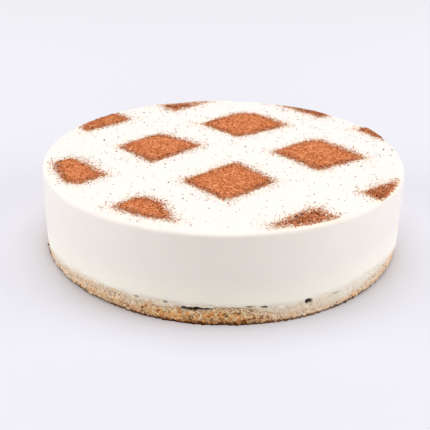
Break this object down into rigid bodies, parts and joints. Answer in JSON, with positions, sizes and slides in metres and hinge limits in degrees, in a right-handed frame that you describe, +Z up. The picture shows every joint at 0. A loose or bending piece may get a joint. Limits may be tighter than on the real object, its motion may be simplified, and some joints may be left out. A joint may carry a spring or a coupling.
{
  "type": "tiramisu cake",
  "caption": "Round uncut tiramisu cake: pressed crumb base, thin soaked sponge, deep layer of white cream and a stencilled pattern of cocoa squares on the flat top.",
  "frame": {"origin": "centre of the underside, on the surface that the cake stands on", "axes": "+Z up, through the middle of the cake; -Y is the front that the picture shows, and +X is to its right"},
  "size_m": [0.24, 0.24, 0.0608],
  "materials": {
    "crumb": "rough golden crumbs, pressed together, with dark gaps between them",
    "sponge": "moist pale sponge under a thin smear of cream, dark and soaked in its pockets",
    "cream": "smooth satin white cream that lets a little light in",
    "cocoa": "dry matt powder with a grainy edge"
  },
  "bodies": {
    "root": {"crumb_base": "crumb", "sponge_layer": "sponge", "cream_body": "cream", "cocoa_square_r1_c2": "cocoa", "cocoa_square_r1_c3": "cocoa", "cocoa_square_r2_c1": "cocoa", "cocoa_square_r2_c2": "cocoa", "cocoa_square_r2_c3": "cocoa", "cocoa_square_r2_c4": "cocoa", "cocoa_square_r3_c1": "cocoa", "cocoa_square_r3_c2": "cocoa", "cocoa_square_r3_c3": "cocoa", "cocoa_square_r3_c4": "cocoa", "cocoa_square_r4_c2": "cocoa", "cocoa_square_r4_c3": "cocoa"}
  },
  "joints": []
}
